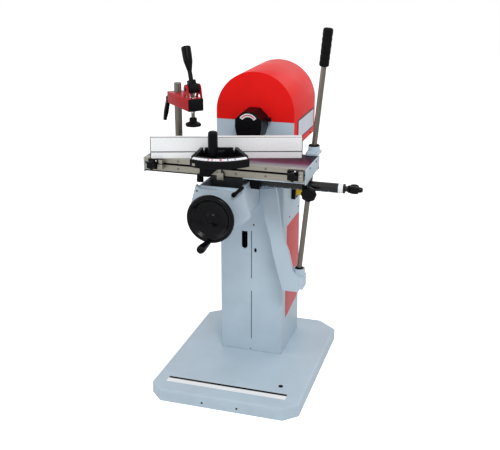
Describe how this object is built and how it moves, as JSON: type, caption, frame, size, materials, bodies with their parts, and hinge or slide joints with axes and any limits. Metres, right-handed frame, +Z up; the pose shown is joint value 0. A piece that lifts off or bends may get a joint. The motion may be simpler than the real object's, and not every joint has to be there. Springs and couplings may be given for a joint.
{
  "type": "slot mortiser",
  "caption": "Floor-standing slot mortiser: square column on a tray base, arched motor cover, crank-lifted cross table with a lever, mitre fence and cam clamp.",
  "frame": {"origin": "middle of the underside of the base stiffener, on the floor", "axes": "+X to the machine's right as seen by the person at the handwheel, +Y to the back, +Z up"},
  "size_m": [0.7277, 0.833, 1.2745],
  "materials": {
    "pale_paint": "satin light blue-grey paint",
    "hood_red": "satin bright red paint",
    "clamp_red": "satin red paint",
    "black_paint": "satin black paint",
    "motor_grey": "satin grey paint",
    "black_plastic": "moulded",
    "gloss_black": "glossy moulded",
    "rubber": "moulded rubber",
    "yellow_plastic": "moulded",
    "green_plastic": "moulded",
    "red_plastic": "moulded",
    "steel": "ground",
    "bright_steel": "polished",
    "aluminium": "anodised"
  },
  "bodies": {
    "frame": {"base_tray": "pale_paint", "base_stiffener": "pale_paint", "column": "pale_paint", "guide_bar_left": "steel", "guide_bar_right": "steel", "lift_nut": "steel", "motor_hood": "hood_red", "front_panel": "pale_paint", "motor_cradle": "pale_paint", "side_plate": "bright_steel", "motor": "motor_grey", "bit_guard": "black_plastic", "switch_box": "black_plastic"},
    "spindle": {"spindle": "steel"},
    "guard_knob": {"guard_knob": "black_plastic"},
    "switch_flap": {"switch_flap": "yellow_plastic"},
    "start_button": {"start_button": "green_plastic"},
    "stop_button": {"stop_button": "red_plastic"},
    "knee": {"knee": "pale_paint", "cross_bar_left": "steel", "cross_bar_right": "steel", "lift_carriage": "steel", "lever_arm": "pale_paint"},
    "knee_lock": {"knee_lock_lever": "black_plastic"},
    "handwheel": {"handwheel": "gloss_black", "wheel_shaft": "steel"},
    "crank": {"crank_grip": "gloss_black"},
    "lift_screw": {"lift_screw": "steel"},
    "lever_cross": {"swivel_ring": "steel"},
    "lever": {"lever_rod": "bright_steel", "lever_grip": "rubber"},
    "saddle": {"saddle": "motor_grey", "index_bracket": "black_paint"},
    "index_bar": {"index_bar": "gloss_black", "index_star_knob": "gloss_black"},
    "table": {"table_plate": "bright_steel", "table_rail": "bright_steel", "end_plate_left": "pale_paint", "end_plate_right": "pale_paint", "runner_front": "steel", "runner_rear": "steel", "index_carrier": "black_paint", "lever_bracket": "pale_paint", "lever_boot": "rubber"},
    "index_knob": {"index_knob": "black_plastic"},
    "stop_left": {"stop_left": "black_paint"},
    "stop_knob_left": {"stop_knob_left": "gloss_black"},
    "stop_right": {"stop_right": "black_paint"},
    "stop_knob_right": {"stop_knob_right": "gloss_black"},
    "mitre_slide": {"mitre_base": "black_paint"},
    "mitre_knob": {"mitre_knob": "black_plastic"},
    "mitre_head": {"mitre_head": "black_paint", "fence": "aluminium"},
    "mitre_lock": {"mitre_lock_knob": "black_plastic"},
    "clamp_post": {"clamp_post": "bright_steel"},
    "clamp_arm": {"clamp_arm": "clamp_red"},
    "cam": {"cam_lever": "black_paint", "cam_grip": "black_plastic"},
    "clamp_spindle": {"clamp_spindle": "black_paint"},
    "clamp_lock": {"clamp_lock_lever": "black_plastic"}
  },
  "joints": [
    {"name": "spindle_spin", "type": "hinge", "parent": "frame", "child": "spindle", "pos_m": [0, 0.03, 0.94], "axis": [0, 1, 0], "continuous": true},
    {"name": "guard_knob_turn", "type": "hinge", "parent": "frame", "child": "guard_knob", "pos_m": [0.049, 0.036, 0.946], "axis": [1, 0, 0], "range_deg": [-180, 180]},
    {"name": "flap_hinge", "type": "hinge", "parent": "frame", "child": "switch_flap", "pos_m": [0.1353, 0.1475, 0.65], "axis": [0, 1, 0], "range_deg": [0, 85]},
    {"name": "start_press", "type": "slide", "parent": "frame", "child": "start_button", "axis": [-1, 0, 0], "range_m": [0, 0.003], "stiffness_N_per_m": 300, "springref_m": -0.002},
    {"name": "stop_press", "type": "slide", "parent": "frame", "child": "stop_button", "axis": [-1, 0, 0], "range_m": [0, 0.003], "stiffness_N_per_m": 300, "springref_m": -0.002},
    {"name": "knee_lift", "type": "slide", "parent": "frame", "child": "knee", "axis": [0, 0, 1], "range_m": [-0.055, 0.06]},
    {"name": "handwheel_spin", "type": "hinge", "parent": "knee", "child": "handwheel", "pos_m": [-0.0255, -0.35, 0.697], "axis": [0, 1, 0], "range_deg": [-2000, 2180]},
    {"name": "crank_spin", "type": "hinge", "parent": "handwheel", "child": "crank", "pos_m": [-0.0255, -0.36, 0.627], "axis": [0, 1, 0], "continuous": true},
    {"name": "lift_screw_spin", "type": "hinge", "parent": "knee", "child": "lift_screw", "pos_m": [-0.0255, 0.1, 0.697], "axis": [0, 0, -1], "range_deg": [-2000, 2180]},
    {"name": "knee_lock_turn", "type": "hinge", "parent": "knee", "child": "knee_lock", "pos_m": [0.036, -0.2903, 0.768], "axis": [0, 1, 0], "range_deg": [-30, 45]},
    {"name": "saddle_slide", "type": "slide", "parent": "knee", "child": "saddle", "axis": [0, -1, 0], "range_m": [-0.055, 0.075]},
    {"name": "lever_cross_tilt", "type": "hinge", "parent": "knee", "child": "lever_cross", "pos_m": [0.194, -0.033, 0.427], "axis": [1, 0, 0], "range_deg": [-7.5, 10]},
    {"name": "table_slide", "type": "slide", "parent": "saddle", "child": "table", "axis": [-1, 0, 0], "range_m": [-0.085, 0.115]},
    {"name": "lever_tilt", "type": "hinge", "parent": "lever_cross", "child": "lever", "pos_m": [0.194, -0.033, 0.427], "axis": [0, -1, 0], "range_deg": [-11.5, 15]},
    {"name": "index_bar_turn", "type": "hinge", "parent": "saddle", "child": "index_bar", "pos_m": [0.062, -0.165, 0.781], "axis": [1, 0, 0], "continuous": true},
    {"name": "index_knob_turn", "type": "hinge", "parent": "table", "child": "index_knob", "pos_m": [0.2632, -0.1963, 0.767], "axis": [0, 1, 0], "range_deg": [-180, 180]},
    {"name": "stop_left_slide", "type": "slide", "parent": "table", "child": "stop_left", "axis": [1, 0, 0], "range_m": [0, 0.1]},
    {"name": "stop_knob_left_turn", "type": "hinge", "parent": "stop_left", "child": "stop_knob_left", "pos_m": [-0.257, -0.2663, 0.8385], "axis": [0, 1, 0], "range_deg": [-180, 180]},
    {"name": "stop_right_slide", "type": "slide", "parent": "table", "child": "stop_right", "axis": [-1, 0, 0], "range_m": [0, 0.1]},
    {"name": "stop_knob_right_turn", "type": "hinge", "parent": "stop_right", "child": "stop_knob_right", "pos_m": [0.221, -0.2663, 0.8385], "axis": [0, 1, 0], "range_deg": [-180, 180]},
    {"name": "mitre_slide_x", "type": "slide", "parent": "table", "child": "mitre_slide", "axis": [1, 0, 0], "range_m": [-0.055, 0.004]},
    {"name": "mitre_knob_turn", "type": "hinge", "parent": "mitre_slide", "child": "mitre_knob", "pos_m": [-0.093, -0.2603, 0.799], "axis": [0, 1, 0], "range_deg": [-180, 180]},
    {"name": "mitre_swivel", "type": "hinge", "parent": "mitre_slide", "child": "mitre_head", "pos_m": [-0.0413, -0.2014, 0.8616], "axis": [0, 0, -1], "range_deg": [-10.5, 33]},
    {"name": "mitre_lock_turn", "type": "hinge", "parent": "mitre_head", "child": "mitre_lock", "pos_m": [-0.03409, -0.29302, 0.8663], "axis": [0, 0, 1], "range_deg": [-180, 180]},
    {"name": "clamp_swivel", "type": "hinge", "parent": "table", "child": "clamp_post", "pos_m": [-0.238, -0.072, 0.856], "axis": [0, 0, 1], "range_deg": [0, 80]},
    {"name": "clamp_height", "type": "slide", "parent": "clamp_post", "child": "clamp_arm", "axis": [0, 0, 1], "range_m": [-0.07, 0.02]},
    {"name": "cam_tilt", "type": "hinge", "parent": "clamp_arm", "child": "cam", "pos_m": [-0.14996, -0.16004, 1.076], "axis": [0.7071, 0.7071, 0], "range_deg": [0, 95]},
    {"name": "clamp_spindle_press", "type": "slide", "parent": "clamp_arm", "child": "clamp_spindle", "axis": [0, 0, -1], "range_m": [0, 0.0085]},
    {"name": "clamp_lock_turn", "type": "hinge", "parent": "clamp_arm", "child": "clamp_lock", "pos_m": [-0.27215, -0.0633, 1.02], "axis": [-0.7071, 0.7071, 0], "range_deg": [-30, 30]}
  ],
  "couplings": [
    {"joint": "handwheel_spin", "follows": "knee_lift", "rad_per_m": 628.32},
    {"joint": "lift_screw_spin", "follows": "knee_lift", "rad_per_m": 628.32},
    {"joint": "lever_cross_tilt", "follows": "saddle_slide", "rad_per_m": 2.2},
    {"joint": "lever_tilt", "follows": "table_slide", "rad_per_m": 2.2},
    {"joint": "clamp_spindle_press", "follows": "cam_tilt", "m_per_rad": 0.00482}
  ]
}
